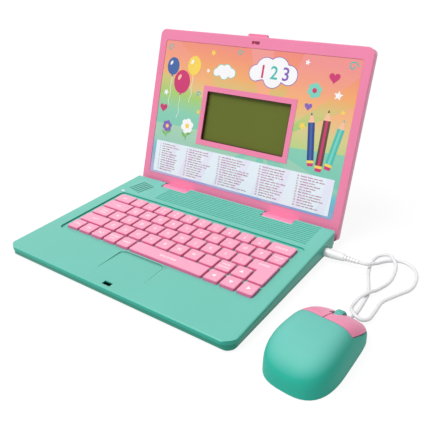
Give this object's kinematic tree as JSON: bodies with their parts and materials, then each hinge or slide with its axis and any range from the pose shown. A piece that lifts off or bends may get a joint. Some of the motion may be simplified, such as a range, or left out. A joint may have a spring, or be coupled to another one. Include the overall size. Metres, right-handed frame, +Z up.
{
  "type": "toy laptop computer",
  "caption": "Children's toy laptop with hinged lid, small display in a printed panel, sprung keys, sliding latch and a corded mouse plugged into its side",
  "frame": {"origin": "centre of the footprint of laptop and mouse without the cord, on the table the feet stand on", "axes": "+X to the right-hand side of the keyboard, +Y away from the user toward the hinge, +Z up from the table"},
  "size_m": [0.3787, 0.2899, 0.2091],
  "materials": {
    "base_moulding": "smooth injection-moulded",
    "lid_moulding": "smooth injection-moulded",
    "key_moulding": "smooth with white printed legends",
    "mouse_moulding": "smooth injection-moulded",
    "mouse_button_moulding": "smooth injection-moulded",
    "printed_sheet": "printed picture sheet",
    "display_glass": "olive display under clear cover",
    "circuit_board": "green board",
    "steel": "plated",
    "rubber": "matte",
    "membrane": "silicone",
    "cell_wrap": "wrapped cell",
    "dark_plastic": "matte",
    "lens": "translucent",
    "led_lens": "translucent",
    "cord_vinyl": "soft vinyl"
  },
  "bodies": {
    "base": {"base_top_cover": "base_moulding", "base_bottom_cover": "base_moulding", "battery_door": "base_moulding", "battery_cells": "cell_wrap", "battery_contacts": "steel", "base_screws": "steel", "rubber_feet": "rubber", "main_circuit_board": "circuit_board", "mouse_socket": "dark_plastic", "speaker": "dark_plastic", "power_led": "led_lens", "key_membrane": "membrane", "key_circuit_board": "circuit_board", "hinge_pins": "steel", "mouse_top_shell": "mouse_moulding", "mouse_bottom_shell": "mouse_moulding", "wheel_axle": "steel", "mouse_circuit_board": "circuit_board", "mouse_lens": "lens", "mouse_glides": "rubber", "mouse_screw": "steel", "mouse_grommet": "cord_vinyl", "mouse_cord": "cord_vinyl", "plug_grip": "cord_vinyl", "plug_pin": "steel", "plug_relief": "cord_vinyl"},
    "lid": {"lid_front_frame": "lid_moulding", "lid_back_cover": "lid_moulding", "lid_screws": "steel", "print_panel": "printed_sheet", "lcd_glass": "display_glass", "lcd_circuit_board": "circuit_board", "latch_spring": "steel"},
    "latch": {"latch_tab": "lid_moulding"},
    "hook": {"latch_hook": "lid_moulding"},
    "left_button": {"mouse_left_button": "mouse_button_moulding"},
    "right_button": {"mouse_right_button": "mouse_button_moulding"},
    "wheel": {"scroll_wheel": "mouse_moulding"},
    "key_escape_body": {"key_escape": "key_moulding"},
    "key_delete_body": {"key_delete": "key_moulding"},
    "key_tab_body": {"key_tab": "key_moulding"},
    "key_caps_lock_body": {"key_caps_lock": "key_moulding"},
    "key_shift_body": {"key_shift": "key_moulding"},
    "key_enter_body": {"key_enter": "key_moulding"},
    "key_space_bar_body": {"key_space_bar": "key_moulding"},
    "key_arrow_up_body": {"key_arrow_up": "key_moulding"},
    "key_arrow_left_body": {"key_arrow_left": "key_moulding"},
    "key_arrow_down_body": {"key_arrow_down": "key_moulding"},
    "key_arrow_right_body": {"key_arrow_right": "key_moulding"},
    "keys_number_row_body": {"keys_number_row": "key_moulding"},
    "keys_upper_row_body": {"keys_upper_row": "key_moulding"},
    "keys_middle_row_body": {"keys_middle_row": "key_moulding"},
    "keys_lower_row_body": {"keys_lower_row": "key_moulding"},
    "keys_front_row_body": {"keys_front_row": "key_moulding"}
  },
  "joints": [
    {"name": "lid_hinge", "type": "hinge", "parent": "base", "child": "lid", "pos_m": [-0.04169, 0.06763, 0.01391], "axis": [1, 0, 0], "range_deg": [-3, 108.65]},
    {"name": "latch_slide", "type": "slide", "parent": "lid", "child": "latch", "axis": [1, 0, 0], "range_m": [-0.002, 0], "stiffness_N_per_m": 250, "deforming": ["latch_spring"]},
    {"name": "hook_slide", "type": "slide", "parent": "latch", "child": "hook", "axis": [0, -0.9613, 0.2756], "range_m": [0, 0.0054]},
    {"name": "left_button_press", "type": "hinge", "parent": "base", "child": "left_button", "pos_m": [0.1559, -0.0911, 0.024], "axis": [0.9951, -0.0993, 0], "range_deg": [-2, 0], "stiffness_Nm_per_rad": 1.2},
    {"name": "right_button_press", "type": "hinge", "parent": "base", "child": "right_button", "pos_m": [0.1559, -0.0911, 0.024], "axis": [0.9951, -0.0993, 0], "range_deg": [-2, 0], "stiffness_Nm_per_rad": 1.2},
    {"name": "wheel_spin", "type": "hinge", "parent": "base", "child": "wheel", "pos_m": [0.15879, -0.06214, 0.0137], "axis": [0.9951, -0.0993, 0], "continuous": true},
    {"name": "key_escape_press", "type": "slide", "parent": "base", "child": "key_escape_body", "axis": [0, -0.0468, 0.9989], "range_m": [-0.0014, 0], "stiffness_N_per_m": 300},
    {"name": "key_delete_press", "type": "slide", "parent": "base", "child": "key_delete_body", "axis": [0, -0.0468, 0.9989], "range_m": [-0.0014, 0], "stiffness_N_per_m": 300},
    {"name": "key_tab_press", "type": "slide", "parent": "base", "child": "key_tab_body", "axis": [0, -0.0468, 0.9989], "range_m": [-0.0014, 0], "stiffness_N_per_m": 300},
    {"name": "key_caps_lock_press", "type": "slide", "parent": "base", "child": "key_caps_lock_body", "axis": [0, -0.0468, 0.9989], "range_m": [-0.0014, 0], "stiffness_N_per_m": 300},
    {"name": "key_shift_press", "type": "slide", "parent": "base", "child": "key_shift_body", "axis": [0, -0.0468, 0.9989], "range_m": [-0.0014, 0], "stiffness_N_per_m": 300},
    {"name": "key_enter_press", "type": "slide", "parent": "base", "child": "key_enter_body", "axis": [0, -0.0468, 0.9989], "range_m": [-0.0014, 0], "stiffness_N_per_m": 300},
    {"name": "key_space_bar_press", "type": "slide", "parent": "base", "child": "key_space_bar_body", "axis": [0, -0.0468, 0.9989], "range_m": [-0.0014, 0], "stiffness_N_per_m": 300},
    {"name": "key_arrow_up_press", "type": "slide", "parent": "base", "child": "key_arrow_up_body", "axis": [0, -0.0468, 0.9989], "range_m": [-0.0014, 0], "stiffness_N_per_m": 300},
    {"name": "key_arrow_left_press", "type": "slide", "parent": "base", "child": "key_arrow_left_body", "axis": [0, -0.0468, 0.9989], "range_m": [-0.0014, 0], "stiffness_N_per_m": 300},
    {"name": "key_arrow_down_press", "type": "slide", "parent": "base", "child": "key_arrow_down_body", "axis": [0, -0.0468, 0.9989], "range_m": [-0.0014, 0], "stiffness_N_per_m": 300},
    {"name": "key_arrow_right_press", "type": "slide", "parent": "base", "child": "key_arrow_right_body", "axis": [0, -0.0468, 0.9989], "range_m": [-0.0014, 0], "stiffness_N_per_m": 300},
    {"name": "keys_number_row_press", "type": "slide", "parent": "base", "child": "keys_number_row_body", "axis": [0, -0.0468, 0.9989], "range_m": [-0.0014, 0], "stiffness_N_per_m": 1500},
    {"name": "keys_upper_row_press", "type": "slide", "parent": "base", "child": "keys_upper_row_body", "axis": [0, -0.0468, 0.9989], "range_m": [-0.0014, 0], "stiffness_N_per_m": 1500},
    {"name": "keys_middle_row_press", "type": "slide", "parent": "base", "child": "keys_middle_row_body", "axis": [0, -0.0468, 0.9989], "range_m": [-0.0014, 0], "stiffness_N_per_m": 1500},
    {"name": "keys_lower_row_press", "type": "slide", "parent": "base", "child": "keys_lower_row_body", "axis": [0, -0.0468, 0.9989], "range_m": [-0.0014, 0], "stiffness_N_per_m": 1500},
    {"name": "keys_front_row_press", "type": "slide", "parent": "base", "child": "keys_front_row_body", "axis": [0, -0.0468, 0.9989], "range_m": [-0.0014, 0], "stiffness_N_per_m": 1500}
  ]
}
